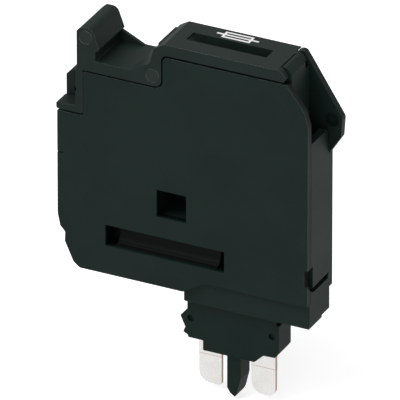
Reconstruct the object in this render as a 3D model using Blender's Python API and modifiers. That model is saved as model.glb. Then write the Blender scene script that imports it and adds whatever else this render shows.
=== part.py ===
"""Plug-in fuse holder for a rail-mounted terminal block, with a swing lever and a 5 x 20 mm cartridge fuse.

Lengths are millimetres until the shape helpers turn them into metres. X runs along the broad face from
the body's left edge, D is the depth behind the front face, and Z is the height above the seat, which is
the underside of the shoulder. The model's origin is between the two blades, on the seat.
"""

import math

import bmesh
import bpy
from mathutils import Matrix, Vector

MM = 0.001

# Body
THICKNESS = 6.2
LENGTH = 30.15
COVER = 0.86
REAR_PLATE = 0.85
PARTING = 0.05
SEAM = 0.2
EDGE = 0.08
BLEND = 0.03
EAR_BLEND = 0.005
BELLY_Z = 1.42
SHOULDER_LEFT = 15.0
SHOULDER_TOP = 3.0
SHOULDER_FRONT = 0.55
SHOULDER_BACK = 5.65
REAR_STEP_DEPTH = 3.7
REAR_STEP_Z = 0.35
TOE_SEAM_Z = 20.2
LOW_SEAM_Z = 25.55
HIGH_SEAM_Z = 29.5
STEP_X = 12.75
COLUMN_SEAM_X = 3.16
COLUMN_GAP = 0.06
END_WALL = 0.9
END_WALL_TOP = 22.5
POCKET_FLOOR = 19.6

# Fuse bay
BAY_FLOOR = 20.1
BAY_LEFT = 1.0
BAY_RIGHT = 26.1
THIN_WALL = 0.35
THIN_RIGHT = 25.9
HORN_TOP = 24.2
HORN_FRONT = 2.3
HORN_CHAMFER = 0.65

# Hinge
PIVOT = (26.8, 30.3)
KNUCKLE_RADIUS = 0.74
KNUCKLE_FRONT = 0.98
KNUCKLE_BACK = 4.3
BORE_RADIUS = 0.4
PEG_CLEARANCE = 0.08
PEG_LENGTH = 1.1
HINGE_GAP = 0.1
CHEEK_REACH = 0.7
CHEEK_BACK = (4.4, 5.23)
NOSE_END = 27.75
NOSE_STEP_Z = 29.45

# Ear
EAR_TIP_X = 31.69
EAR_ROOT_Z = 19.3
DIMPLE_AT = (30.42, 23.48)
DIMPLE_RADIUS = 0.85
DIMPLE_DEPTH = 0.6

# Lever
LEVER_TOP = 31.06
LEVER_LEFT = 2.4
CORE_FRONT = 1.0
CORE_BACK = 5.2
CORE_RIGHT = 25.6
LEVER_SEAM = 0.25
RECESS_Z = 27.07
TAB_RIGHT = 4.62
COLUMN_LEFT = 2.2
COLUMN_BACK = 2.1
TOE_LEFT = -0.1
TOE_HEIGHT = 0.8
COLUMN_NOTCH_Z = 23.2
HOLDER_WALL = 0.9
HOLDER_GAP = 0.25
MARK_X = (14.5, 24.1)
MARK_D = (2.2, 4.0)
MARK_DEPTH = 1.3

# Front openings
WINDOW_X = (12.0, 15.57)
WINDOW_Z = (9.9, 13.2)
WINDOW_MARGIN = 0.15
WINDOW_WALL = 0.23
WINDOW_BACK = 5.0
SLOT_X = (5.78, 20.14)
SLOT_Z = (4.9, 7.45)
SLOT_POCKET = 1.1
SLOT_BACK = 1.5
SLOT_FILLET = 1.35
TRAY_WALL = 0.4
TRAY_FLOOR_D = 2.0
SLIT_Z = 4.2
SLIT_TOP = 7.4
SLIT_LEG = 1.35
SLIT_HEIGHT = 0.6
SLIT_DEPTH = 0.55

# Cover pins
PIN_RADIUS = 0.7
PIN_TIP_D = 3.0
PIN_CLEARANCE = 0.1
PINS = ((2.6, 12.0), (27.0, 12.0))

# Plug
FOOT_D = (1.65, 4.55)
FOOT_X = (14.9, 26.1)
FOOT_STEP_Z = -5.0
FOOT_BOTTOM = -6.2
FOOT_SEAT = 0.25
FOOT_GAP = 0.12
TENON_HEIGHT = 1.9
TENON_INSET = 0.85
STRIP_FRONT = 2.85
STRIP_THICKNESS = 0.5
COIN_DEPTH = 0.05
COIN_TOP = -7.3
BLADES_X = ((15.73, 18.45), (22.05, 24.96))
BLADE_BOTTOM = -10.8
CLEARANCE = 0.1
PRONG_X = (19.55, 21.2)
PRONG_D = (2.0, 4.2)
PRONG_TIP = -11.3

# Fuse, 5 x 20 mm
FUSE_LENGTH = 20.0
FUSE_LEFT = 3.65
FUSE_Z = 22.95
CAP_RADIUS = 2.6
CAP_LENGTH = 5.0
CAP_WALL = 0.25
GLASS_RADIUS = 2.25
GLASS_WALL = 0.4
WIRE_RADIUS = 0.12

# Contacts
RISER_WIDTH = 2.0
LINK_Z = (14.4, 16.2)
CHANNEL_GAP = 0.25
CHANNEL_LOW = 3.4
SADDLE_GAP = 0.25
SADDLE_THICKNESS = 0.3
SADDLE_LENGTH = 3.6
SADDLE_HALF_ANGLE = 25.0

# Indicator, inside the lever
INDICATOR_X = (13.2, 23.4)
INDICATOR_TOP = 29.4
BOARD_Z = 28.3
BOARD_THICKNESS = 0.5
BOARD_INSET = 0.4
COMPONENT_RADIUS = 0.65
LEAD_RADIUS = 0.12
LEAD_Z = 26.15

MIDDLE_D = THICKNESS / 2
HOUSING_FRONT = COVER + PARTING
PLATE_FRONT = THICKNESS - REAR_PLATE
STRIP_D = (STRIP_FRONT, STRIP_FRONT + STRIP_THICKNESS)
PLUG_X = 20.3
FUSE_RIGHT = FUSE_LEFT + FUSE_LENGTH
ARC_STEP = math.radians(15)


def clear_scene():
    for item in list(bpy.data.objects):
        bpy.data.objects.remove(item, do_unlink=True)


def new_collection(name, hidden=False):
    collection = bpy.data.collections.new(name)
    bpy.context.scene.collection.children.link(collection)
    collection.hide_render = hidden
    return collection


clear_scene()
PARTS = new_collection("Fuse holder")
CUTTERS = new_collection("Cutters", hidden=True)


def material(name, colour, roughness, metallic=0.0, alpha=1.0):
    made = bpy.data.materials.new(name)
    made.use_nodes = True
    shader = made.node_tree.nodes["Principled BSDF"]
    shader.inputs["Base Color"].default_value = (*colour, 1.0)
    shader.inputs["Roughness"].default_value = roughness
    shader.inputs["Metallic"].default_value = metallic
    shader.inputs["Alpha"].default_value = alpha
    return made


def place(x, d, z):
    return Vector(((x - PLUG_X) * MM, (d - MIDDLE_D) * MM, z * MM))


def arc(centre, radius, start, end):
    """Points along an arc, from one angle to another in degrees."""
    sweep = math.radians(end - start)
    steps = max(2, math.ceil(abs(sweep) / ARC_STEP))
    angles = [math.radians(start) + sweep * i / steps for i in range(steps + 1)]
    return [(centre[0] + radius * math.cos(a), centre[1] + radius * math.sin(a)) for a in angles]


def sharp(points):
    return [(u, v, 0.0) for u, v in points]


def rounded(corners):
    """An outline whose corners (u, v, radius) are turned into arcs of that radius."""
    points = []
    for i, (u, v, radius) in enumerate(corners):
        here = Vector((u, v))
        before = Vector(corners[i - 1][:2]) - here
        after = Vector(corners[(i + 1) % len(corners)][:2]) - here
        if radius <= 0:
            points.append((u, v))
            continue
        half = before.angle(after) / 2
        reach = min(radius / math.tan(half), 0.49 * before.length, 0.49 * after.length)
        radius = reach * math.tan(half)
        middle = here + (before.normalized() + after.normalized()).normalized() * radius / math.sin(half)
        first = here + before.normalized() * reach - middle
        last = here + after.normalized() * reach - middle
        turn = first.angle_signed(last)
        steps = max(1, math.ceil(abs(turn) / ARC_STEP))
        start = math.atan2(first.y, first.x)
        for step in range(steps + 1):
            angle = start - turn * step / steps
            points.append((middle.x + radius * math.cos(angle), middle.y + radius * math.sin(angle)))
    return points


def add(name, mesh, look=None):
    made = bpy.data.objects.new(name, mesh)
    if look is None:
        CUTTERS.objects.link(made)
        made.hide_render = True
        made.display_type = "WIRE"
    else:
        PARTS.objects.link(made)
        made.data.materials.append(look)
    return made


def filled(name, outline, depth):
    """A flat outline filled and extruded as a 2D curve, then made a mesh."""
    curve = bpy.data.curves.new(name, "CURVE")
    curve.dimensions = "2D"
    curve.fill_mode = "BOTH"
    curve.extrude = depth / 2 * MM
    spline = curve.splines.new("POLY")
    spline.points.add(len(outline) - 1)
    for point, (u, v) in zip(spline.points, outline):
        point.co = (u * MM, v * MM, 0.0, 1.0)
    spline.use_cyclic_u = True
    guide = bpy.data.objects.new(name + "_outline", curve)
    bpy.context.scene.collection.objects.link(guide)
    bpy.context.view_layer.update()
    evaluated = guide.evaluated_get(bpy.context.evaluated_depsgraph_get())
    mesh = bpy.data.meshes.new_from_object(evaluated)
    bpy.data.objects.remove(guide, do_unlink=True)
    mesh.name = name
    return mesh


def weld(mesh):
    shape = bmesh.new()
    shape.from_mesh(mesh)
    bmesh.ops.remove_doubles(shape, verts=shape.verts, dist=1e-7)
    bmesh.ops.recalc_face_normals(shape, faces=shape.faces)
    shape.to_mesh(mesh)
    shape.free()


def slab(name, outline, front, back, look=None):
    """An outline in X and Z, given its thickness in depth."""
    mesh = filled(name, outline, back - front)
    turn = Matrix.Rotation(math.radians(90), 4, "X")
    mesh.transform(Matrix.Translation(place(0, (front + back) / 2, 0)) @ turn)
    weld(mesh)
    return add(name, mesh, look)


def section(name, outline, left, right, look=None):
    """An outline in depth and Z, drawn out along X."""
    mesh = filled(name, outline, right - left)
    turn = Matrix(((0, 0, 1, 0), (1, 0, 0, 0), (0, 1, 0, 0), (0, 0, 0, 1)))
    mesh.transform(Matrix.Translation(place((left + right) / 2, 0, 0)) @ turn)
    weld(mesh)
    return add(name, mesh, look)


def box(name, xs, ds, zs, look=None):
    """A block given by its two ends along X, in depth and along Z."""
    mesh = bpy.data.meshes.new(name)
    shape = bmesh.new()
    bmesh.ops.create_cube(shape, size=1.0)
    first, last = place(xs[0], ds[0], zs[0]), place(xs[1], ds[1], zs[1])
    bmesh.ops.scale(shape, vec=last - first, verts=shape.verts)
    bmesh.ops.translate(shape, vec=(first + last) / 2, verts=shape.verts)
    shape.to_mesh(mesh)
    shape.free()
    return add(name, mesh, look)


def rod(name, start, end, radius, look=None, segments=24):
    mesh = bpy.data.meshes.new(name)
    first, last = place(*start), place(*end)
    axis = last - first
    turn = Vector((0, 0, 1)).rotation_difference(axis).to_matrix().to_4x4()
    shape = bmesh.new()
    bmesh.ops.create_cone(
        shape,
        cap_ends=True,
        segments=segments,
        radius1=radius * MM,
        radius2=radius * MM,
        depth=axis.length,
        matrix=Matrix.Translation((first + last) / 2) @ turn,
    )
    shape.to_mesh(mesh)
    shape.free()
    return add(name, mesh, look)


def wire(name, route, radius, look):
    """A round wire along a route of points."""
    curve = bpy.data.curves.new(name, "CURVE")
    curve.dimensions = "3D"
    curve.bevel_depth = radius * MM
    curve.bevel_resolution = 2
    curve.use_fill_caps = True
    spline = curve.splines.new("POLY")
    spline.points.add(len(route) - 1)
    for point, where in zip(spline.points, route):
        point.co = (*place(*where), 1.0)
    made = bpy.data.objects.new(name, curve)
    PARTS.objects.link(made)
    curve.materials.append(look)
    return made


def soften(target, width=EDGE):
    """A small bevel on the sharp edges of a moulding."""
    step = target.modifiers.new("soft_edges", "BEVEL")
    step.width = width * MM
    step.segments = 1
    step.limit_method = "ANGLE"
    step.angle_limit = math.radians(50)


def boolean(target, other, operation):
    step = target.modifiers.new(other.name, "BOOLEAN")
    step.operation = operation
    step.solver = "EXACT"
    step.object = other


def cut(target, *cutters):
    for cutter in cutters:
        boolean(target, cutter, "DIFFERENCE")


def join(target, *others):
    for other in others:
        boolean(target, other, "UNION")


def grown(span, margin):
    return (span[0] - margin, span[1] + margin)


def belly():
    """The left, bottom and right edges that the cover and the housing share, anticlockwise."""
    return [
        (0.0, 7.6, 2.0),
        (0.3, 6.1, 0.3),
        (0.9, 5.45, 0.2),
        (0.86, 4.3, 0.3),
        (1.9, 2.0, 0.8),
        (2.65, BELLY_Z, 0.3),
        (SHOULDER_LEFT + 0.2, BELLY_Z, 0.6),
        (SHOULDER_LEFT + 2.7, SHOULDER_TOP, 0.2),
        (LENGTH, SHOULDER_TOP, 0.0),
    ]


def cover_outline():
    return rounded(
        [(0.0, TOE_SEAM_Z, 0.1)]
        + belly()
        + [
            (LENGTH, 24.95, 1.5),
            (29.6, 26.8, 1.5),
            (27.5, HIGH_SEAM_Z, 0.3),
            (STEP_X, HIGH_SEAM_Z, 0.6),
            (STEP_X, LOW_SEAM_Z, 1.0),
            (COLUMN_SEAM_X, LOW_SEAM_Z, 0.16),
            (COLUMN_SEAM_X, TOE_SEAM_Z, 0.16),
        ]
    )


def plate_outline():
    """The rear plate, which mirrors the cover and rises behind the hinge as the ear."""
    return rounded(
        belly()
        + [
            (LENGTH, EAR_ROOT_Z + 0.1, 0.0),
            (EAR_TIP_X - 0.15, 21.6, 0.5),
            (EAR_TIP_X, 23.95, 0.6),
            (27.8, 30.0, 0.5),
        ]
        + sharp(arc(PIVOT, KNUCKLE_RADIUS, 60, 180))
        + [
            (PIVOT[0] - KNUCKLE_RADIUS, HIGH_SEAM_Z, 0.0),
            (STEP_X, HIGH_SEAM_Z, 0.6),
            (STEP_X, LOW_SEAM_Z, 1.0),
            (COLUMN_LEFT, LOW_SEAM_Z, 0.16),
            (COLUMN_LEFT, HORN_TOP, 0.16),
            (HORN_CHAMFER, HORN_TOP, 0.16),
            (0.0, HORN_TOP - HORN_CHAMFER, 0.16),
        ]
    )


def bay_outline():
    """What is open in front of the rear plate: the fuse bay, the room over the nose and the ear's front."""
    high = EAR_TIP_X + 1.0
    return [
        (BAY_LEFT, BAY_FLOOR),
        (BAY_RIGHT, BAY_FLOOR),
        (BAY_RIGHT, NOSE_STEP_Z),
        (NOSE_END, NOSE_STEP_Z),
        (NOSE_END, END_WALL_TOP),
        (LENGTH - EAR_BLEND, END_WALL_TOP),
        (LENGTH - EAR_BLEND, EAR_ROOT_Z),
        (high, EAR_ROOT_Z),
        (high, high),
        (BAY_LEFT, high),
    ]


def knuckle_outline():
    left = PIVOT[0] - KNUCKLE_RADIUS
    return rounded(
        sharp(arc(PIVOT, KNUCKLE_RADIUS, 180, 75))
        + [
            (NOSE_END - 0.35, 30.75, 0.2),
            (NOSE_END, 30.3, 0.3),
            (NOSE_END, NOSE_STEP_Z - 0.5, 0.0),
            (left, NOSE_STEP_Z - 0.5, 0.0),
        ]
    )


def strip_outline(side, margin, low):
    """The flat strip of a contact, grown by a margin, from a lower end up to its saddle."""
    left, right = grown(BLADES_X[side], margin)
    riser_left, riser_right = grown(riser(side), margin)
    top = FUSE_Z - CAP_RADIUS - SADDLE_GAP - SADDLE_THICKNESS / 2
    return [
        (right, low, 0.0),
        (right, LINK_Z[1] + margin, 0.3),
        (riser_right, LINK_Z[1] + margin, 0.3),
        (riser_right, top, 0.0),
        (riser_left, top, 0.0),
        (riser_left, LINK_Z[0] - margin, 0.3),
        (left, LINK_Z[0] - margin, 0.3),
        (left, low, 0.0),
    ]


def saddle(side):
    """Where the spring saddle lies under its fuse cap."""
    if side == 0:
        left = FUSE_LEFT + 0.65
    else:
        left = FUSE_RIGHT - 0.65 - SADDLE_LENGTH
    return (left, left + SADDLE_LENGTH)


def riser(side):
    middle = sum(saddle(side)) / 2
    return (middle - RISER_WIDTH / 2, middle + RISER_WIDTH / 2)


def blade_slot(name, side, low, high):
    return box(name, grown(BLADES_X[side], CLEARANCE), grown(STRIP_D, CLEARANCE), (low, high))


def end_groove():
    """The hollow where the end wall's top runs down to the root of the ear."""
    back = PLATE_FRONT - BLEND
    top = END_WALL_TOP
    outline = [
        (back - 0.92, top + 1.0),
        (back - 0.92, top + 0.1),
        (back - 0.62, top - 0.05),
        (back - 0.37, top - 0.4),
        (back - 0.27, top - 1.1),
        (back, top - 2.1),
        (back, top + 1.0),
    ]
    return section("end_groove", outline, LENGTH - END_WALL - 0.25, LENGTH + 0.5)


def slit_cutter(name):
    """The hooked slit in the end face: an upright leg at the front and a level leg behind it."""
    top = SLIT_Z + SLIT_HEIGHT
    outline = [
        (-1.0, SLIT_TOP),
        (-1.0, SLIT_Z + 1.3),
        (0.0, SLIT_Z + 1.2),
        (SLIT_LEG - 0.15, SLIT_Z + 0.1),
        (SLIT_LEG + 0.25, SLIT_Z),
        (5.1, SLIT_Z),
        (5.3, top + 0.1),
        (SLIT_LEG, top),
        (SLIT_LEG, SLIT_TOP),
    ]
    return section(name, outline, LENGTH - SLIT_DEPTH, LENGTH + 1.0)


def make_shoulder(target):
    band = box(
        "shoulder_band",
        (SHOULDER_LEFT, LENGTH - BLEND),
        (SHOULDER_FRONT, SHOULDER_BACK),
        (0.0, SHOULDER_TOP + 0.5),
    )
    soften(band)
    under_cover = slab(
        "cover_relief",
        [
            (SHOULDER_LEFT - 1.0, BELLY_Z - PARTING - 0.6),
            (SHOULDER_LEFT + 0.2, BELLY_Z - PARTING),
            (SHOULDER_LEFT + 2.7, SHOULDER_TOP - PARTING),
            (LENGTH + 1.0, SHOULDER_TOP - PARTING),
            (LENGTH + 1.0, SHOULDER_TOP + 1.0),
            (SHOULDER_LEFT - 1.0, SHOULDER_TOP + 1.0),
        ],
        SHOULDER_FRONT - 1.0,
        HOUSING_FRONT + BLEND,
    )
    rear_step = box(
        "rear_step",
        (SHOULDER_LEFT - 1.0, LENGTH + 1.0),
        (REAR_STEP_DEPTH, SHOULDER_BACK + 1.0),
        (-1.0, REAR_STEP_Z),
    )
    cut(band, under_cover, rear_step)
    join(target, band)


def make_rear_housing(look):
    housing = slab("rear_housing", plate_outline(), HOUSING_FRONT, THICKNESS, look)
    soften(housing)
    cut(housing, slab("bay_room", bay_outline(), 0.0, PLATE_FRONT))
    join(housing, slab("knuckle", knuckle_outline(), KNUCKLE_FRONT, KNUCKLE_BACK))
    make_shoulder(housing)
    cut(
        housing,
        box("toe_room", (-1.0, COLUMN_SEAM_X), (-1.0, HORN_FRONT), (BAY_FLOOR, LEVER_TOP)),
        box("rear_bay", (BAY_LEFT, THIN_RIGHT), (PLATE_FRONT - 0.5, THICKNESS - THIN_WALL), (BAY_FLOOR, LEVER_TOP)),
        box(
            "end_pocket",
            (NOSE_END + BLEND, LENGTH - END_WALL),
            (0.0, PLATE_FRONT - BLEND),
            (POCKET_FLOOR, END_WALL_TOP + 1.0),
        ),
        rod(
            "hinge_bore",
            (PIVOT[0], KNUCKLE_FRONT - 1.0, PIVOT[1]),
            (PIVOT[0], KNUCKLE_BACK + 0.6, PIVOT[1]),
            BORE_RADIUS,
        ),
        rod(
            "ear_dimple",
            (DIMPLE_AT[0], PLATE_FRONT - 1.0, DIMPLE_AT[1]),
            (DIMPLE_AT[0], PLATE_FRONT + DIMPLE_DEPTH, DIMPLE_AT[1]),
            DIMPLE_RADIUS,
        ),
        end_groove(),
        box(
            "window_room",
            (WINDOW_X[0] - WINDOW_MARGIN, BLADES_X[0][0] - 2 * CLEARANCE - WINDOW_WALL),
            (0.0, WINDOW_BACK),
            grown(WINDOW_Z, WINDOW_MARGIN),
        ),
        tray_room("slot_room", SLOT_X, SLOT_Z),
        box("foot_recess", grown(FOOT_X, CLEARANCE), grown(FOOT_D, CLEARANCE), (-1.0, FOOT_SEAT)),
        box(
            "foot_socket",
            (FOOT_X[0] + TENON_INSET - CLEARANCE, FOOT_X[1] - TENON_INSET + CLEARANCE),
            grown(FOOT_D, CLEARANCE - 0.4),
            (-1.0, TENON_HEIGHT + CLEARANCE),
        ),
        slit_cutter("housing_slit"),
    )
    for side, name in enumerate(("left", "right")):
        cut(
            housing,
            slab(
                f"channel_{name}",
                rounded(strip_outline(side, 2 * CLEARANCE, CHANNEL_LOW)),
                HOUSING_FRONT - 0.5,
                STRIP_D[1] + CHANNEL_GAP,
            ),
            box(
                f"saddle_room_{name}",
                grown(saddle(side), 0.3),
                (HOUSING_FRONT - 0.5, PLATE_FRONT - 0.3),
                (BAY_FLOOR - 1.2, BAY_FLOOR + 0.5),
            ),
            blade_slot(f"housing_slot_{name}", side, -1.0, CHANNEL_LOW + 0.5),
        )
    for number, (x, z) in enumerate(PINS):
        cut(
            housing,
            rod(
                f"pin_socket_{number}",
                (x, 0.0, z),
                (x, PIN_TIP_D + PIN_CLEARANCE, z),
                PIN_RADIUS + PIN_CLEARANCE,
            ),
        )
    return housing


def tray_room(name, xs, zs):
    margin = TRAY_WALL + SEAM
    return box(name, grown(xs, margin), (0.0, TRAY_FLOOR_D + TRAY_WALL + SEAM), grown(zs, margin))


def tray(name, xs, zs):
    """The moulded tray behind an opening in the cover."""
    return box(
        name,
        grown(xs, TRAY_WALL),
        (COVER / 2, TRAY_FLOOR_D + TRAY_WALL),
        grown(zs, TRAY_WALL),
    )


def slot_cutter():
    """The long slot: a hollow fillet along its lower edge, and a deep pocket at each end."""
    low, high = SLOT_Z
    hollow = [(-1.0, low)]
    hollow += arc((SLOT_BACK - SLOT_FILLET, low + SLOT_FILLET), SLOT_FILLET, -90, 0)
    hollow += [(SLOT_BACK, high), (-1.0, high)]
    cutter = section("slot_opening", hollow, *SLOT_X)
    left_pocket = (SLOT_X[0], SLOT_X[0] + SLOT_POCKET)
    right_pocket = (SLOT_X[1] - SLOT_POCKET, SLOT_X[1])
    for name, span in (("left", left_pocket), ("right", right_pocket)):
        join(cutter, box(f"slot_pocket_{name}", span, (-1.0, TRAY_FLOOR_D), SLOT_Z))
    return cutter


def make_front_cover(look):
    cover = slab("front_cover", cover_outline(), 0.0, COVER, look)
    soften(cover)
    join(cover, tray("slot_tray", SLOT_X, SLOT_Z))
    for number, (x, z) in enumerate(PINS):
        join(cover, rod(f"cover_pin_{number}", (x, COVER / 2, z), (x, PIN_TIP_D, z), PIN_RADIUS))
    cut(
        cover,
        box("window_opening", WINDOW_X, (-1.0, COVER + 1.0), WINDOW_Z),
        slot_cutter(),
        box("front_bay", (COLUMN_SEAM_X - 1.0, THIN_RIGHT), (THIN_WALL, COVER + 1.0), (BAY_FLOOR, LEVER_TOP)),
        slit_cutter("cover_slit"),
        box("cover_tick", (-1.0, 0.7), (-1.0, 0.15), (15.05, 15.2)),
    )
    return cover


def lever_outline():
    """The lever from the front: toe, column, thumb tab, finger recess, raised end and hinge cheek."""
    low_z = LOW_SEAM_Z + SEAM
    high_z = HIGH_SEAM_Z + LEVER_SEAM
    toe_z = TOE_SEAM_Z + SEAM
    column_right = COLUMN_SEAM_X - COLUMN_GAP
    cheek_foot = PIVOT[0] + math.sqrt(CHEEK_REACH**2 - (PIVOT[1] - high_z) ** 2)
    crown_radius = 1.16
    crown = arc((PIVOT[0] - 0.5, LEVER_TOP - crown_radius), crown_radius, 12, 90)
    return rounded(
        [
            (TOE_LEFT + 0.15, toe_z, 0.0),
            (column_right, toe_z, 0.16),
            (column_right, low_z, 0.16),
            (STEP_X - SEAM, low_z, 0.8),
            (STEP_X - SEAM, high_z, 0.8),
            (cheek_foot, high_z, 0.0),
        ]
        + sharp(crown)
        + [
            (12.9, LEVER_TOP, 0.5),
            (11.7, 30.35, 0.5),
            (11.15, 28.4, 0.5),
            (8.9, RECESS_Z, 0.8),
            (TAB_RIGHT, RECESS_Z, 0.15),
            (TAB_RIGHT, 28.2, 0.16),
            (5.15, 28.55, 0.2),
            (4.25, 30.95, 0.9),
            (LEVER_LEFT + 0.55, 30.9, 0.15),
            (LEVER_LEFT, 30.4, 0.16),
            (LEVER_LEFT, low_z - 0.1, 0.0),
            (COLUMN_LEFT, low_z - 0.1, 0.0),
            (COLUMN_LEFT, COLUMN_NOTCH_Z + 0.3, 0.0),
            (COLUMN_LEFT + 0.2, COLUMN_NOTCH_Z, 0.0),
            (COLUMN_LEFT, COLUMN_NOTCH_Z - 0.2, 0.0),
            (COLUMN_LEFT, toe_z + TOE_HEIGHT, 0.2),
            (TOE_LEFT, toe_z + TOE_HEIGHT, 0.16),
            (TOE_LEFT, toe_z + 0.15, 0.0),
        ]
    )


def hinge_room(name, front, back):
    """The room for the knuckle: an arc about the hinge, and an upright face below it."""
    reach = KNUCKLE_RADIUS + HINGE_GAP
    low = HIGH_SEAM_Z - 0.1
    right = NOSE_END + 1.0
    outline = arc(PIVOT, reach, 110, 180)
    top = outline[0][1]
    outline += [(PIVOT[0] - reach, low), (right, low), (right, top)]
    return slab(name, outline, front, back)


def make_holder(name, left, foot_chamfer):
    """A wall that hangs from the lever beside one end of the fuse."""
    low = TOE_SEAM_Z + SEAM + 0.1
    high = LOW_SEAM_Z + SEAM + 0.5
    right = left + HOLDER_WALL
    outline = [(left + foot_chamfer, low), (right, low), (right, high), (left, high), (left, low + foot_chamfer)]
    if foot_chamfer == 0:
        outline = outline[:-1]
    return slab(name, outline, CORE_FRONT + 0.1, CORE_BACK - 0.1)


def make_lever(look):
    low_z = LOW_SEAM_Z + SEAM
    lever = slab("lever", lever_outline(), 0.0, THICKNESS, look)
    soften(lever)
    cut(lever, box("column_back", (-1.0, COLUMN_SEAM_X), (COLUMN_BACK, THICKNESS + 1.0), (0.0, low_z + 0.05)))
    core = box(
        "lever_core",
        (STEP_X - 1.0, CORE_RIGHT),
        (CORE_FRONT, CORE_BACK),
        (low_z + 0.05, LEVER_TOP - 0.5),
    )
    gusset = slab(
        "gusset",
        [
            (TAB_RIGHT - 0.4, RECESS_Z - 0.4),
            (8.2, RECESS_Z - 0.4),
            (7.8, RECESS_Z),
            (4.8, 28.5),
            (TAB_RIGHT - 0.4, 28.6),
        ],
        THICKNESS - 0.5,
        THICKNESS - EDGE,
    )
    join(
        lever,
        core,
        gusset,
        make_holder("holder_left", FUSE_LEFT - HOLDER_GAP - HOLDER_WALL, 0.5),
        make_holder("holder_right", FUSE_RIGHT + HOLDER_GAP, 0.0),
    )
    cut(
        lever,
        hinge_room("hinge_room_front", COVER, CHEEK_BACK[0]),
        hinge_room("hinge_room_rear", CHEEK_BACK[1], THICKNESS + 1.0),
        mark_cutter(),
        box(
            "indicator_room",
            INDICATOR_X,
            (CORE_FRONT + 0.5, CORE_BACK - 0.5),
            (low_z - 1.0, INDICATOR_TOP),
        ),
        box(
            "lead_groove",
            (FUSE_LEFT + 1.9, INDICATOR_X[0] + 0.5),
            (MIDDLE_D - 0.35, MIDDLE_D + 0.35),
            (low_z - 1.0, LEAD_Z + 0.3),
        ),
    )
    peg_radius = BORE_RADIUS - PEG_CLEARANCE
    front_peg = rod(
        "front_peg",
        (PIVOT[0], COVER / 2, PIVOT[1]),
        (PIVOT[0], KNUCKLE_FRONT + PEG_LENGTH, PIVOT[1]),
        peg_radius,
    )
    rear_peg = rod(
        "rear_peg",
        (PIVOT[0], CHEEK_BACK[0] + 0.3, PIVOT[1]),
        (PIVOT[0], KNUCKLE_BACK - PEG_LENGTH, PIVOT[1]),
        peg_radius,
    )
    join(lever, front_peg, rear_peg)
    return lever


def mark_cutter():
    """The slot in the lever's top, with a shallow ramp at its left end."""
    left, right = MARK_X
    outline = [
        (left, LEVER_TOP - 0.2),
        (left + 1.4, LEVER_TOP - MARK_DEPTH),
        (right, LEVER_TOP - MARK_DEPTH),
        (right, LEVER_TOP + 1.0),
        (left, LEVER_TOP + 1.0),
    ]
    return slab("mark_slot", outline, *MARK_D)


def foot_outline():
    left, right = FOOT_X
    return rounded(
        [
            (left, FOOT_SEAT - FOOT_GAP, 0.0),
            (left, -1.5, 0.1),
            (left - 0.2, -1.75, 0.1),
            (left - 0.85, -2.5, 0.2),
            (left - 0.25, -3.8, 0.1),
            (left - 0.5, -4.45, 0.1),
            (left + 0.05, -4.7, 0.1),
            (left + 0.1, FOOT_STEP_Z, 0.1),
            (left + 1.9, FOOT_STEP_Z, 0.1),
            (left + 1.9, FOOT_BOTTOM, 0.1),
            (right - 3.1, FOOT_BOTTOM, 0.2),
            (right - 2.0, FOOT_STEP_Z - 0.15, 0.2),
            (right - 0.6, FOOT_STEP_Z - 0.1, 0.2),
            (right - 0.1, FOOT_STEP_Z + 0.6, 0.2),
            (right - 0.1, -1.1, 0.1),
            (right - 0.5, -1.1, 0.0),
            (right - 0.5, -0.4, 0.0),
            (right, -0.4, 0.0),
            (right, FOOT_SEAT - FOOT_GAP, 0.0),
        ]
    )


def make_plug_foot(look):
    foot = slab("plug_foot", foot_outline(), *FOOT_D, look)
    soften(foot, 0.15)
    tenon = box(
        "foot_tenon",
        (FOOT_X[0] + TENON_INSET, FOOT_X[1] - TENON_INSET),
        grown(FOOT_D, -0.4),
        (-1.0, TENON_HEIGHT),
    )
    join(foot, tenon)
    cut(
        foot,
        blade_slot("foot_slot_left", 0, FOOT_BOTTOM - 1.0, TENON_HEIGHT + 1.0),
        blade_slot("foot_slot_right", 1, FOOT_BOTTOM - 1.0, TENON_HEIGHT + 1.0),
        box(
            "prong_socket",
            grown(PRONG_X, CLEARANCE - 0.2),
            grown(PRONG_D, CLEARANCE - 0.3),
            (FOOT_BOTTOM - 1.0, FOOT_BOTTOM + 2.6),
        ),
        rod("dimple_left", (15.3, FOOT_D[0] - 1.0, -2.6), (15.3, FOOT_D[0] + 0.3, -2.6), 0.4, segments=16),
        rod("dimple_right", (25.1, FOOT_D[0] - 1.0, -2.56), (25.1, FOOT_D[0] + 0.3, -2.56), 0.4, segments=16),
    )
    return foot


def make_coding_prong(look):
    left, right = PRONG_X
    top = FOOT_BOTTOM - FOOT_GAP
    outline = rounded(
        [
            (right, top, 0.0),
            (left, top, 0.0),
            (left, PRONG_TIP + 1.0, 0.1),
            (left + 0.35, PRONG_TIP + 0.4, 0.1),
            (left + 0.95, PRONG_TIP, 0.1),
            (left + 1.2, PRONG_TIP + 0.5, 0.1),
            (right, PRONG_TIP + 2.4, 0.2),
        ]
    )
    prong = slab("coding_prong", outline, *PRONG_D, look)
    soften(prong, 0.15)
    tang = box("prong_tang", grown(PRONG_X, -0.2), grown(PRONG_D, -0.3), (top - 1.0, FOOT_BOTTOM + 2.4))
    join(prong, tang)
    return prong


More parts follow.
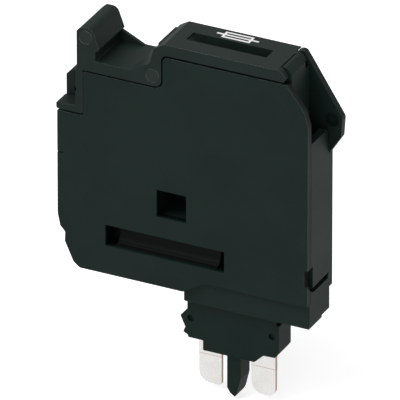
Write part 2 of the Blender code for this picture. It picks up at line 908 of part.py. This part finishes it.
def make_contact(side, name, look):
    """One stamped strip: blade, link, riser, and the spring saddle under the fuse cap."""
    left, right = BLADES_X[side]
    if side == 0:
        tip = [(left, BLADE_BOTTOM, 1.8), (right, BLADE_BOTTOM, 0.3)]
    else:
        tip = [(left, BLADE_BOTTOM + 0.1, 1.7), (right, BLADE_BOTTOM + 0.1, 1.0)]
    contact = slab(name, rounded(tip + strip_outline(side, 0.0, 0.0)[1:-1]), *STRIP_D, look)
    inner = CAP_RADIUS + SADDLE_GAP
    outer = inner + SADDLE_THICKNESS
    first, last = -90 - SADDLE_HALF_ANGLE, -90 + SADDLE_HALF_ANGLE
    axis = (MIDDLE_D, FUSE_Z)
    band = arc(axis, inner, last, first) + arc(axis, outer, first, last)
    join(contact, section(f"{name}_saddle", band, *saddle(side)))
    coined = (BLADE_BOTTOM - 1.0, COIN_TOP)
    wide = grown(BLADES_X[side], 1.0)
    cut(
        contact,
        box(f"{name}_coin_front", wide, (STRIP_D[0] - 1.0, STRIP_D[0] + COIN_DEPTH), coined),
        box(f"{name}_coin_back", wide, (STRIP_D[1] - COIN_DEPTH, STRIP_D[1] + 1.0), coined),
    )
    return contact


def make_fuse_cap(name, closed_x, open_x, look):
    """A drawn metal cup, closed at one end."""
    inward = math.copysign(1.0, open_x - closed_x)
    cap = rod(name, (closed_x, MIDDLE_D, FUSE_Z), (open_x, MIDDLE_D, FUSE_Z), CAP_RADIUS, look, 32)
    room = rod(
        f"{name}_room",
        (closed_x + inward * CAP_WALL, MIDDLE_D, FUSE_Z),
        (open_x + inward, MIDDLE_D, FUSE_Z),
        CAP_RADIUS - CAP_WALL,
        segments=32,
    )
    cut(cap, room)
    return cap


def make_fuse_glass(look):
    """The tube: a closed profile turned about the fuse's axis."""
    end = FUSE_LENGTH / 2 - CAP_WALL - CLEARANCE
    profile = (
        (GLASS_RADIUS - GLASS_WALL, -end),
        (GLASS_RADIUS, -end),
        (GLASS_RADIUS, end),
        (GLASS_RADIUS - GLASS_WALL, end),
    )
    mesh = bpy.data.meshes.new("fuse_glass_tube")
    points = [(radius * MM, 0.0, along * MM) for radius, along in profile]
    mesh.from_pydata(points, [(1, 0), (2, 1), (3, 2), (0, 3)], [])
    tube = add("fuse_glass_tube", mesh, look)
    tube.location = place(FUSE_LEFT + FUSE_LENGTH / 2, MIDDLE_D, FUSE_Z)
    tube.rotation_euler = (0.0, math.radians(90), 0.0)
    turn = tube.modifiers.new("turn", "SCREW")
    turn.steps = 32
    turn.render_steps = 32
    turn.use_merge_vertices = True
    turn.merge_threshold = 1e-6
    return tube


def make_fuse(nickel, glass, copper):
    make_fuse_cap("fuse_cap_left", FUSE_LEFT, FUSE_LEFT + CAP_LENGTH, nickel)
    make_fuse_cap("fuse_cap_right", FUSE_RIGHT, FUSE_RIGHT - CAP_LENGTH, nickel)
    make_fuse_glass(glass)
    end = CAP_WALL + CLEARANCE
    slant = 0.8
    route = (
        (FUSE_LEFT + end, MIDDLE_D, FUSE_Z - slant),
        (FUSE_RIGHT - end, MIDDLE_D, FUSE_Z + slant),
    )
    wire("fuse_wire", route, WIRE_RADIUS, copper)


def make_indicator(board_look, led_look, resistor_look, diode_look, lead_look):
    """The board across the lever's room, the lamp over it, and the wired parts under it."""
    board_x = grown(INDICATOR_X, -BOARD_INSET)
    board_d = (CORE_FRONT + 0.8, CORE_BACK - 0.8)
    box("indicator_board", board_x, board_d, (BOARD_Z, BOARD_Z + BOARD_THICKNESS), board_look)
    lamp_x = sum(MARK_X) / 2
    top = BOARD_Z + BOARD_THICKNESS
    box(
        "indicator_led",
        (lamp_x - 0.8, lamp_x + 0.8),
        (MIDDLE_D - 0.4, MIDDLE_D + 0.4),
        (top + 0.05, INDICATOR_TOP - 0.1),
        led_look,
    )
    below = BOARD_Z - COMPONENT_RADIUS - 0.1
    for name, x, length, look in (
        ("series_resistor", board_x[0] + 2.6, 3.2, resistor_look),
        ("blocking_diode", board_x[1] - 2.6, 2.6, diode_look),
    ):
        rod(name, (x - length / 2, MIDDLE_D, below), (x + length / 2, MIDDLE_D, below), COMPONENT_RADIUS, look)
    cap_top = FUSE_Z + CAP_RADIUS + LEAD_RADIUS + 0.03
    left_x = FUSE_LEFT + CAP_LENGTH / 2
    wire(
        "indicator_lead_left",
        (
            (board_x[0] + 0.4, MIDDLE_D, BOARD_Z - LEAD_RADIUS - 0.05),
            (board_x[0], MIDDLE_D, LEAD_Z),
            (left_x, MIDDLE_D, LEAD_Z),
            (left_x - 0.05, MIDDLE_D, cap_top),
        ),
        LEAD_RADIUS,
        lead_look,
    )
    right_x = board_x[1] - 0.3
    wire(
        "indicator_lead_right",
        ((right_x, MIDDLE_D, BOARD_Z - 0.1), (right_x, MIDDLE_D, LEAD_Z), (right_x - 0.4, MIDDLE_D, cap_top)),
        LEAD_RADIUS,
        lead_look,
    )


def build():
    black = material("black_polyamide", (0.022, 0.026, 0.025), 0.55)
    tin = material("tinned_copper", (0.82, 0.81, 0.79), 0.3, 1.0)
    nickel = material("nickel_cap", (0.62, 0.61, 0.58), 0.3, 1.0)
    glass = material("fuse_glass", (0.9, 0.95, 0.93), 0.05, 0.0, 0.35)
    copper = material("fuse_element", (0.75, 0.5, 0.3), 0.35, 1.0)
    make_rear_housing(black)
    make_front_cover(black)
    make_plug_foot(black)
    make_coding_prong(black)
    make_contact(0, "contact_left", tin)
    make_contact(1, "contact_right", tin)
    make_lever(black)
    make_fuse(nickel, glass, copper)
    make_indicator(
        material("circuit_board", (0.04, 0.18, 0.09), 0.5),
        material("led_lens", (0.6, 0.08, 0.05), 0.2),
        material("resistor_body", (0.55, 0.42, 0.28), 0.5),
        material("diode_body", (0.03, 0.03, 0.035), 0.4),
        tin,
    )


build()
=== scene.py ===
# %% [markdown]
# The frame is the imported model of the fuse holder. Every piece below is placed in the same metres, so
# nothing has to be fitted afterwards.

import math

import bmesh
import bpy
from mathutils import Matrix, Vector


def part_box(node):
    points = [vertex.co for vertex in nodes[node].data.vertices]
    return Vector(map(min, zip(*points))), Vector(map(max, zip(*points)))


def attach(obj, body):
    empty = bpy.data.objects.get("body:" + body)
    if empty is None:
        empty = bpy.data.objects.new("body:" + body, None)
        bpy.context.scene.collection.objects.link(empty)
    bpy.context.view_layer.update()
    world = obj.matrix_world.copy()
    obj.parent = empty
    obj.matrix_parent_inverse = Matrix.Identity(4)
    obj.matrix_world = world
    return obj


MM = 0.001
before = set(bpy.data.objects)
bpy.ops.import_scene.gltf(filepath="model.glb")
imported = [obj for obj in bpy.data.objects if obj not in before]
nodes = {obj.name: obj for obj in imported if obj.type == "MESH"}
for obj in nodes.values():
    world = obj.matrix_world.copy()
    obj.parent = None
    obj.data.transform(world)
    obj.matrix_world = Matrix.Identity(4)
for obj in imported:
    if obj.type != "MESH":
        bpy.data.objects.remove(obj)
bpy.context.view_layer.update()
print("nodes:", len(nodes))

# %% [markdown]
# The holder is known by the distance from its left edge, the depth behind its front face and the height
# over its seat. One helper turns those three, in millimetres, into a point of the frame. The other gives
# the direction of a lamp or of the camera.

# %% Places
PLUG_X = 20.3
MIDDLE_D = 3.1
LEVER_TOP = 31.06


def place(x, d, z):
    return Vector(((x - PLUG_X) * MM, (d - MIDDLE_D) * MM, z * MM))


def direction(azimuth, elevation):
    """The unit vector toward a viewer, from degrees round the holder and degrees over its seat."""
    a, e = math.radians(azimuth), math.radians(elevation)
    return Vector((math.sin(a) * math.cos(e), -math.cos(a) * math.cos(e), math.sin(e)))


# %% [markdown]
# A material is a chain of small sums on colours and numbers. Wrapping a socket in a class with Python's
# operators lets each sum be written as one, so 1 - mask becomes a Math node.

# %% Sockets that do arithmetic
class Field:
    """A socket of a node tree. A sum on it adds a Math node."""

    def __init__(self, tree, socket):
        self.tree = tree
        self.socket = socket

    def _math(self, operation, *values):
        return self.tree.node("ShaderNodeMath", {"operation": operation}, *values)

    def __add__(self, other):
        return self._math("ADD", self, other)

    __radd__ = __add__

    def __sub__(self, other):
        return self._math("SUBTRACT", self, other)

    def __rsub__(self, other):
        return self._math("SUBTRACT", other, self)

    def __mul__(self, other):
        return self._math("MULTIPLY", self, other)

    __rmul__ = __mul__

    def __truediv__(self, other):
        return self._math("DIVIDE", self, other)

    def __gt__(self, other):
        return self._math("GREATER_THAN", self, other)

    def __lt__(self, other):
        return self._math("LESS_THAN", self, other)

    def size(self):
        return self._math("ABSOLUTE", self)


class Finish:
    """A material under construction, with its Principled shader."""

    def __init__(self, name, colour, roughness, metallic=0.0):
        self.material = bpy.data.materials.new(name)
        self.material.use_nodes = True
        self.nodes = self.material.node_tree.nodes
        self.links = self.material.node_tree.links
        self.shader = self.nodes["Principled BSDF"]
        self.set("Base Color", (*colour, 1.0))
        self.set("Roughness", roughness)
        self.set("Metallic", metallic)

    def plug(self, socket, value):
        if isinstance(value, Field):
            self.links.new(value.socket, socket)
        else:
            socket.default_value = value

    def set(self, name, value):
        self.plug(self.shader.inputs[name], value)

    def node(self, kind, settings, *values, output=0, **named):
        made = self.nodes.new(kind)
        for key, value in settings.items():
            setattr(made, key, value)
        for socket, value in zip(made.inputs, values):
            self.plug(socket, value)
        for key, value in named.items():
            self.plug(made.inputs[key.replace("_", " ")], value)
        return Field(self, made.outputs[output])

    def place(self):
        return self.node("ShaderNodeTexCoord", {}, output="Object")

    def noise(self, size_mm, detail=2.0, vector=None):
        return self.node(
            "ShaderNodeTexNoise",
            {},
            Vector=vector or self.place(),
            Scale=1.0 / (size_mm * MM),
            Detail=detail,
        )

    def axis(self, index):
        """The distance along one axis of the frame, in metres."""
        return self.node("ShaderNodeSeparateXYZ", {}, self.place(), output=index)

    def facing(self, index):
        """How far the surface faces along one axis of the frame."""
        geometry = self.node("ShaderNodeNewGeometry", {}, output="Normal")
        return self.node("ShaderNodeSeparateXYZ", {}, geometry, output=index)

    def blend(self, factor, first, second):
        made = self.nodes.new("ShaderNodeMix")
        made.data_type = "RGBA"
        self.plug(made.inputs["Factor"], factor)
        self.plug(made.inputs[6], first if isinstance(first, Field) else (*first, 1.0))
        self.plug(made.inputs[7], second if isinstance(second, Field) else (*second, 1.0))
        return Field(self, made.outputs[2])

    def step(self, value, low, high, first=0.0, last=1.0):
        return self.node(
            "ShaderNodeMapRange",
            {"clamp": True, "interpolation_type": "SMOOTHSTEP"},
            value,
            low,
            high,
            first,
            last,
        )

    def bump(self, height, distance_mm, strength=1.0):
        self.set(
            "Normal",
            self.node("ShaderNodeBump", {}, Strength=strength, Distance=distance_mm * MM, Height=height),
        )


# %% [markdown]
# The mouldings are black glass-filled polyamide from a spark-eroded tool. That tool leaves a fine even
# grain, so light spreads softly over the faces. Two noises make it: a grain of a tenth of a millimetre
# in the bump, and a slow one that lets the roughness wander, as flow in the mould does.
#
# The rounded edges that face up or right carry a painted highlight, a pale grey in patches. Every face
# of these mouldings lies across the holder's depth or along it, so a face that points partly along the
# depth is a rounded edge. The one exception is the hollow of the long slot, which the depth keeps out.
# On the cover, painted shade turns the surface nearly black from 0.6 mm behind its front, so the slot's
# hollow darkens towards its back. The two ejector marks on the lever's front are pale discs.

# %% Black polyamide
BLACK = (0.005, 0.0118, 0.0098)
BLACK_PALE = (0.009, 0.0175, 0.015)
# Painted shade: the next colour, nearly black, darkens the cover deeper behind its front.
SHADE_BLACK = (0.0008, 0.002, 0.0014)
# Painted highlight: the next colour, a pale grey, lights the rounded edges that face up or right.
EDGE_HIGHLIGHT = (0.27, 0.286, 0.283)
MARKED = (0.035, 0.039, 0.038)
MARK_RADIUS = 0.8
MARK_PLACES = ((3.475, 29.77), (11.5, 26.97))
MARK_EDGE = (0.8, 1.1)
MARK_STRENGTH = 0.25
FRONT_SKIN = 0.01
SLOT_DEPTH = (0.15, 1.55)
SHADE_DEPTH = (0.1, 0.6)
EDGE_STARTS = (0.25, 0.45)
EDGE_ENDS = (0.82, 0.94)
SPECULAR = 0.08


def black_plastic(name, lift=0.0, marks=(), shade_inside=False):
    finish = Finish(name, BLACK, 0.5)
    slow = finish.noise(6.0, 3.0)
    grain = finish.noise(0.09, 2.0)
    cloud = finish.step(slow, 0.3, 0.7)
    base = tuple(channel + lift for channel in BLACK)
    pale = tuple(channel + lift for channel in BLACK_PALE)
    skin = finish.blend(cloud * 0.6 + grain * 0.25, base, pale)
    depth = finish.axis(1) / MM + MIDDLE_D
    # Painted shade: deeper behind the front, the surface is blended to near black.
    if shade_inside:
        skin = finish.blend(finish.step(depth, *SHADE_DEPTH), skin, SHADE_BLACK)
    for x, z in marks:
        across = finish.axis(0) / MM + (PLUG_X - x)
        up = finish.axis(2) / MM - z
        inner, outer = (share * MARK_RADIUS**2 for share in MARK_EDGE)
        disc = finish.step(across * across + up * up, inner, outer, 1.0, 0.0)
        skin = finish.blend(disc * (depth < FRONT_SKIN) * MARK_STRENGTH, skin, MARKED)
    # Painted highlight: from here the rounded edges that face up or right are blended to a pale grey.
    along = finish.facing(1).size()
    rounded = finish.step(along, *EDGE_STARTS) * finish.step(along, *EDGE_ENDS, 1.0, 0.0)
    lit = finish.step(finish.facing(2) + finish.facing(0) * 0.6, 0.1, 0.6)
    slot_middle = sum(SLOT_DEPTH) / 2
    slot_half = (SLOT_DEPTH[1] - SLOT_DEPTH[0]) / 2
    outside = (depth - slot_middle).size() > slot_half
    highlight_breakup = finish.step(finish.noise(2.2, 3.0), 0.35, 0.6, 0.45, 1.0)
    finish.set("Base Color", finish.blend(rounded * highlight_breakup * lit * outside, skin, EDGE_HIGHLIGHT))
    finish.set("Roughness", 0.43 + grain * 0.16 + cloud * 0.05)
    finish.shader.inputs["Specular IOR Level"].default_value = SPECULAR
    finish.bump(grain, 0.012, 0.55)
    return finish


housing_black = black_plastic("housing_black")
# The cover gets painted shade deeper behind its front.
cover_black = black_plastic("cover_black", shade_inside=True)
lever_black = black_plastic("lever_black", 0.003, MARK_PLACES)
# The plug's black is painted a little darker: painted shade, as less light reaches the bottom of the
# holder.
shaded_plug_black = black_plastic("shaded_plug_black", -0.002)
print("plastic finishes: 4")

# %% [markdown]
# The blades are stamped from copper alloy strip that was tinned first. So the broad faces are pale tin
# with faint rolling lines, and the sheared edges show the copper. The side that a face points to tells
# the two apart, because the strip's broad faces all point along the holder's depth.

# %% Tinned strip
TIN = (0.6, 0.589, 0.572)
TIN_DULL = (0.52, 0.51, 0.49)
COPPER = (0.3, 0.19, 0.12)
COIN_TOP = -7.3


def tinned_strip(name):
    finish = Finish(name, TIN, 0.28, 1.0)
    stretched = finish.node("ShaderNodeMapping", {}, finish.place(), Scale=(8.0, 8.0, 0.6))
    lines = finish.noise(1.0, 4.0, stretched)
    cloud = finish.noise(1.6, 3.0)
    edge = finish.step(finish.facing(1).size(), 0.35, 0.75, 1.0, 0.0)
    streak = finish.step(cloud, 0.4, 0.75)
    # Painted shade: a thin line at the top of the coining is blended towards copper, standing in for the
    # shade under its small step.
    from_line = (finish.axis(2) / MM - COIN_TOP).size()
    line = finish.step(from_line, 0.02, 0.1, 1.0, 0.0)
    tin = finish.blend(streak * 0.5, TIN, TIN_DULL)
    tin = finish.blend(line * 0.6, tin, COPPER)
    finish.set("Base Color", finish.blend(edge * 0.85, tin, COPPER))
    finish.set("Roughness", 0.2 + lines * 0.16 + edge * 0.12)
    finish.bump(lines, 0.006, 0.4)
    return finish


tin = tinned_strip("tinned_strip")

# %% [markdown]
# The fuse has two drawn, nickel-plated caps with fine marks that run round them. Between them are a
# clear glass tube with a faint green tint and a thin element of bare wire.

# %% Fuse finishes


def drawn_nickel(name):
    finish = Finish(name, (0.66, 0.64, 0.6), 0.25, 1.0)
    squeezed = finish.node("ShaderNodeMapping", {}, finish.place(), Scale=(9.0, 0.6, 0.6))
    rings = finish.noise(1.0, 3.0, squeezed)
    spots = finish.noise(0.8, 3.0)
    dull = finish.step(spots, 0.45, 0.8)
    finish.set("Base Color", finish.blend(dull, (0.68, 0.66, 0.62), (0.5, 0.47, 0.42)))
    finish.set("Roughness", 0.16 + rings * 0.22)
    finish.bump(rings, 0.008, 0.4)
    return finish


def clear_glass(name):
    finish = Finish(name, (0.88, 0.95, 0.92), 0.04)
    cloud = finish.noise(3.0, 2.0)
    finish.set("Alpha", 0.22 + cloud * 0.12)
    finish.set("Roughness", 0.03 + cloud * 0.04)
    return finish


def bare_wire(name, colour):
    finish = Finish(name, colour, 0.35, 1.0)
    wear = finish.noise(0.4, 2.0)
    finish.set("Roughness", 0.25 + wear * 0.25)
    finish.set("Base Color", finish.blend(wear, colour, tuple(channel * 0.8 for channel in colour)))
    return finish


nickel = drawn_nickel("drawn_nickel")
glass = clear_glass("fuse_glass_clear")
element = bare_wire("fuse_element_wire", (0.76, 0.52, 0.34))
lead_wire = bare_wire("tinned_lead_wire", (0.78, 0.76, 0.72))

# %% [markdown]
# The indicator's parts sit on a small board. Solder mask shows the weave of the glass cloth under it.
# The resistor carries plain colour rings, and the diode one pale ring at its cathode.

# %% Indicator finishes


def solder_mask(name):
    finish = Finish(name, (0.03, 0.16, 0.07), 0.4)
    weave = finish.noise(0.35, 1.0)
    patch = finish.noise(1.5, 2.0)
    thin = finish.step(patch, 0.42, 0.6)
    finish.set("Base Color", finish.blend(thin, (0.02, 0.12, 0.05), (0.05, 0.21, 0.1)))
    finish.set("Roughness", 0.3 + weave * 0.2)
    finish.bump(weave, 0.01, 0.5)
    return finish


def ringed_body(name, node, colour, rings, gloss):
    """A round body with rings: each ring is a place from 0 to 1 along it, a half width and a colour."""
    finish = Finish(name, colour, gloss)
    low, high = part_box(node)
    along = (finish.axis(0) - low.x) / (high.x - low.x)
    skin = finish.blend(finish.noise(0.5, 2.0), colour, tuple(channel * 0.8 for channel in colour))
    for middle, half, ink in rings:
        mask = (along - middle).size() < half
        skin = finish.blend(mask, skin, ink)
    finish.set("Base Color", skin)
    finish.set("Roughness", gloss + finish.noise(0.3, 2.0) * 0.15)
    return finish


board = solder_mask("solder_mask")
resistor = ringed_body(
    "resistor_lacquer",
    "series_resistor",
    (0.55, 0.42, 0.28),
    ((0.2, 0.05, (0.3, 0.05, 0.03)), (0.4, 0.05, (0.02, 0.02, 0.02)), (0.6, 0.05, (0.5, 0.1, 0.03))),
    0.35,
)
diode = ringed_body(
    "diode_epoxy", "blocking_diode", (0.03, 0.03, 0.035), ((0.85, 0.06, (0.6, 0.6, 0.58)),), 0.3
)
led = Finish("led_epoxy", (0.55, 0.05, 0.03), 0.15)
led.set("Roughness", 0.1 + led.noise(0.3, 2.0) * 0.15)
led.set("Base Color", led.blend(led.noise(0.6, 2.0), (0.55, 0.05, 0.03), (0.4, 0.03, 0.02)))

# %% [markdown]
# Each solid of the frame keeps its shape here and takes one of these finishes in its own slots.

# %% Dress the solids
FINISHES = {
    "rear_housing": housing_black,
    "front_cover": cover_black,
    "lever": lever_black,
    "plug_foot": shaded_plug_black,
    "coding_prong": shaded_plug_black,
    "contact_left": tin,
    "contact_right": tin,
    "fuse_cap_left": nickel,
    "fuse_cap_right": nickel,
    "fuse_glass_tube": glass,
    "fuse_wire": element,
    "indicator_board": board,
    "indicator_led": led,
    "series_resistor": resistor,
    "blocking_diode": diode,
    "indicator_lead_left": lead_wire,
    "indicator_lead_right": lead_wire,
}

for name, finish in FINISHES.items():
    solid = nodes[name].data
    if not solid.materials:
        solid.materials.append(finish.material)
    for index in range(len(solid.materials)):
        solid.materials[index] = finish.material
print("dressed:", len(FINISHES))

# %% [markdown]
# The ejector pins of the mould leave faint rings on the lever's front. They repeat, so Geometry Nodes
# put one thin ring on each point of a small mesh. The ring's size is an input of the tree, and the tree
# ends with real geometry, because the export keeps no instances.

# %% Ejector rings
RING_THICKNESS = 0.018
RING_DEPTH = 0.005
RING_STEPS = 40
RING_SIDES = 8


def ring_tree(finish):
    tree = bpy.data.node_groups.new("ejector_rings", "GeometryNodeTree")
    sockets = {}
    tree.interface.new_socket("Geometry", in_out="INPUT", socket_type="NodeSocketGeometry")
    tree.interface.new_socket("Geometry", in_out="OUTPUT", socket_type="NodeSocketGeometry")
    for label in ("Ring Radius", "Ring Thickness"):
        socket = tree.interface.new_socket(label, in_out="INPUT", socket_type="NodeSocketFloat")
        sockets[label] = socket.identifier
    make = tree.nodes.new
    link = tree.links.new
    entry = make("NodeGroupInput")
    ring = make("GeometryNodeCurvePrimitiveCircle")
    ring.inputs["Resolution"].default_value = RING_STEPS
    link(entry.outputs["Ring Radius"], ring.inputs["Radius"])
    section = make("GeometryNodeCurvePrimitiveCircle")
    section.inputs["Resolution"].default_value = RING_SIDES
    link(entry.outputs["Ring Thickness"], section.inputs["Radius"])
    sweep = make("GeometryNodeCurveToMesh")
    link(ring.outputs["Curve"], sweep.inputs["Curve"])
    link(section.outputs["Curve"], sweep.inputs["Profile Curve"])
    turn = make("GeometryNodeTransform")
    turn.inputs["Rotation"].default_value = (math.radians(90), 0.0, 0.0)
    link(sweep.outputs["Mesh"], turn.inputs["Geometry"])
    scatter = make("GeometryNodeInstanceOnPoints")
    link(entry.outputs["Geometry"], scatter.inputs["Points"])
    link(turn.outputs["Geometry"], scatter.inputs["Instance"])
    real = make("GeometryNodeRealizeInstances")
    link(scatter.outputs["Instances"], real.inputs["Geometry"])
    paint = make("GeometryNodeSetMaterial")
    paint.inputs["Material"].default_value = finish.material
    link(real.outputs["Geometry"], paint.inputs["Geometry"])
    leave = make("NodeGroupOutput")
    link(paint.outputs["Geometry"], leave.inputs["Geometry"])
    return tree, sockets


def grow(name, points, tree, values):
    """Runs a tree on a few points and keeps the result as a plain mesh."""
    seed = bpy.data.meshes.new(name + "_points")
    seed.from_pydata(points, [], [])
    carrier = bpy.data.objects.new(name + "_carrier", seed)
    bpy.context.scene.collection.objects.link(carrier)
    step = carrier.modifiers.new("grow", "NODES")
    step.node_group = tree
    for identifier, value in values.items():
        step[identifier] = value
    bpy.context.view_layer.update()
    evaluated = carrier.evaluated_get(bpy.context.evaluated_depsgraph_get())
    mesh = bpy.data.meshes.new_from_object(evaluated)
    bpy.data.objects.remove(carrier)
    mesh.name = name
    made = bpy.data.objects.new(name, mesh)
    bpy.context.scene.collection.objects.link(made)
    return made


rings_tree, rings_inputs = ring_tree(lever_black)
rings = grow(
    "ejector_rings",
    [place(x, RING_DEPTH, z) for x, z in MARK_PLACES],
    rings_tree,
    {
        rings_inputs["Ring Radius"]: MARK_RADIUS * MM,
        rings_inputs["Ring Thickness"]: RING_THICKNESS * MM,
    },
)
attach(rings, "lever")
print("ring faces:", len(rings.data.polygons))

# %% [markdown]
# The top of the lever has a small white print. Here it is the plain drawing sign for a fuse: a
# rectangle with a line through it. The ink is a thin layer, so each stroke is a very flat bar.

# %% White print
INK_HEIGHT = 0.015
STROKE = 0.26
SIGN_MIDDLE = (19.3, 5.08)
SIGN_LENGTH = 3.4
SIGN_WIDTH = 1.36
SIGN_LINE = 5.0


def bar(shape, xs, ds):
    made = bmesh.ops.create_cube(shape, size=1.0)["verts"]
    low = place(xs[0], ds[0], LEVER_TOP - INK_HEIGHT)
    high = place(xs[1], ds[1], LEVER_TOP + INK_HEIGHT)
    bmesh.ops.scale(shape, vec=high - low, verts=made)
    bmesh.ops.translate(shape, vec=(high + low) / 2, verts=made)


def fuse_sign(name):
    shape = bmesh.new()
    x, d = SIGN_MIDDLE
    left, right = x - SIGN_LENGTH / 2, x + SIGN_LENGTH / 2
    near, far = d - SIGN_WIDTH / 2, d + SIGN_WIDTH / 2
    bar(shape, (left, right), (near, near + STROKE))
    bar(shape, (left, right), (far - STROKE, far))
    bar(shape, (left, left + STROKE), (near + STROKE, far - STROKE))
    bar(shape, (right - STROKE, right), (near + STROKE, far - STROKE))
    bar(shape, (x - SIGN_LINE / 2, left), (d - STROKE / 2, d + STROKE / 2))
    bar(shape, (right, x + SIGN_LINE / 2), (d - STROKE / 2, d + STROKE / 2))
    bar(shape, (left + STROKE, right - STROKE), (d - STROKE / 2, d + STROKE / 2))
    mesh = bpy.data.meshes.new(name)
    shape.to_mesh(mesh)
    shape.free()
    made = bpy.data.objects.new(name, mesh)
    bpy.context.scene.collection.objects.link(made)
    return made


ink = Finish("white_ink", (0.85, 0.86, 0.85), 0.5)
ink.set("Base Color", ink.blend(ink.noise(0.25, 2.0) * 0.4, (0.88, 0.89, 0.88), (0.6, 0.61, 0.6)))
ink.set("Roughness", 0.45 + ink.noise(0.2, 2.0) * 0.2)
sign = fuse_sign("fuse_sign")
sign.data.materials.append(ink.material)
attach(sign, "lever")
print("sign bars:", len(sign.data.polygons) // 6)

# %% [markdown]
# The stage is a pale floor just under the prong's tip. To the camera, in gloss and through glass it has
# a glow of its own on top of the light that falls on it, so it reads as white and keeps the shadow. The
# object itself gets its light from the lamps and the world.

# %% Floor and world
FLOOR_DROP = 0.4
FLOOR_SIZE = 4.0
FLOOR_GLOW = 0.6
WORLD_LIGHT = 0.45
WHITE = (1.0, 1.0, 1.0, 1.0)


def mixed_for_view(tree, lighting, seen, output):
    """One shader as the light meets it, another as the camera, gloss and glass see it."""
    path = tree.nodes.new("ShaderNodeLightPath")
    total = path.outputs["Is Camera Ray"]
    for kind in ("Is Glossy Ray", "Is Transmission Ray"):
        larger = tree.nodes.new("ShaderNodeMath")
        larger.operation = "MAXIMUM"
        tree.links.new(total, larger.inputs[0])
        tree.links.new(path.outputs[kind], larger.inputs[1])
        total = larger.outputs[0]
    choose = tree.nodes.new("ShaderNodeMixShader")
    tree.links.new(total, choose.inputs[0])
    tree.links.new(lighting, choose.inputs[1])
    tree.links.new(seen, choose.inputs[2])
    tree.links.new(choose.outputs[0], output)


def pale_floor():
    mesh = bpy.data.meshes.new("floor")
    shape = bmesh.new()
    bmesh.ops.create_grid(shape, x_segments=1, y_segments=1, size=FLOOR_SIZE / 2)
    low = min(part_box(name)[0].z for name in nodes)
    bmesh.ops.translate(shape, vec=(0.0, 0.0, low - FLOOR_DROP * MM), verts=shape.verts)
    shape.to_mesh(mesh)
    shape.free()
    made = bpy.data.objects.new("floor", mesh)
    bpy.context.scene.collection.objects.link(made)
    paint = Finish("pale_floor", (0.8, 0.8, 0.8), 0.7)
    glow = paint.nodes.new("ShaderNodeEmission")
    glow.inputs["Strength"].default_value = FLOOR_GLOW
    lit = paint.nodes.new("ShaderNodeAddShader")
    paint.links.new(paint.shader.outputs[0], lit.inputs[0])
    paint.links.new(glow.outputs[0], lit.inputs[1])
    surface = paint.nodes["Material Output"].inputs["Surface"]
    mixed_for_view(paint.material.node_tree, paint.shader.outputs[0], lit.outputs[0], surface)
    made.data.materials.append(paint.material)
    return made


floor = pale_floor()

world = bpy.data.worlds.new("studio")
world.use_nodes = True
bpy.context.scene.world = world
backdrop = world.node_tree.nodes["Background"]
white = world.node_tree.nodes.new("ShaderNodeBackground")
white.inputs["Strength"].default_value = 1.0
white.inputs["Color"].default_value = WHITE
backdrop.inputs["Color"].default_value = WHITE
backdrop.inputs["Strength"].default_value = WORLD_LIGHT
sky = world.node_tree.nodes["World Output"].inputs["Surface"]
mixed_for_view(world.node_tree, backdrop.outputs[0], white.outputs[0], sky)

# %% [markdown]
# The strongest soft lamp is on the upper left and lights the top and the left faces. One near the camera
# lifts the front, and a very weak one on the right picks out the end wall.

# %% Lamps
LAMP_SIZE = 0.3
LAMP_TARGET = (15.0, 3.1, 10.0)


def soft_lamp(name, azimuth, elevation, distance, power):
    lamp = bpy.data.lights.new(name, "AREA")
    lamp.shape = "SQUARE"
    lamp.size = LAMP_SIZE
    lamp.energy = power
    made = bpy.data.objects.new(name, lamp)
    bpy.context.scene.collection.objects.link(made)
    toward = direction(azimuth, elevation)
    made.location = place(*LAMP_TARGET) + toward * distance
    made.rotation_euler = toward.to_track_quat("Z", "Y").to_euler()
    return made


soft_lamp("key", -35.0, 55.0, 0.5, 1.6)
soft_lamp("fill", 80.0, 30.0, 0.5, 0.05)
soft_lamp("front", 10.0, 25.0, 0.6, 0.5)

# %% [markdown]
# The photograph was taken with a long lens from the right and above, so the holder's edges stay almost
# parallel. A distance of 1.5 m does the same here. The photograph is 43.3 mm wide at the holder, and that
# width and the distance give the lens.

# %% Camera
CAMERA_AZIMUTH = 26.24
CAMERA_ELEVATION = 28.05
CAMERA_DISTANCE = 1500.0
FRAME_WIDTH = 43.3
SENSOR = 36.0
CLIP_START = 0.01
LOOK_AT = (15.72, 3.1, 11.34)

lens = bpy.data.cameras.new("camera")
lens.sensor_width = SENSOR
lens.lens = SENSOR * CAMERA_DISTANCE / FRAME_WIDTH
lens.clip_start = CLIP_START
camera = bpy.data.objects.new("camera", lens)
bpy.context.scene.collection.objects.link(camera)
back = direction(CAMERA_AZIMUTH, CAMERA_ELEVATION)
camera.location = place(*LOOK_AT) + back * CAMERA_DISTANCE * MM
camera.rotation_euler = back.to_track_quat("Z", "Y").to_euler()
bpy.context.scene.camera = camera
bpy.context.scene.view_settings.view_transform = "Standard"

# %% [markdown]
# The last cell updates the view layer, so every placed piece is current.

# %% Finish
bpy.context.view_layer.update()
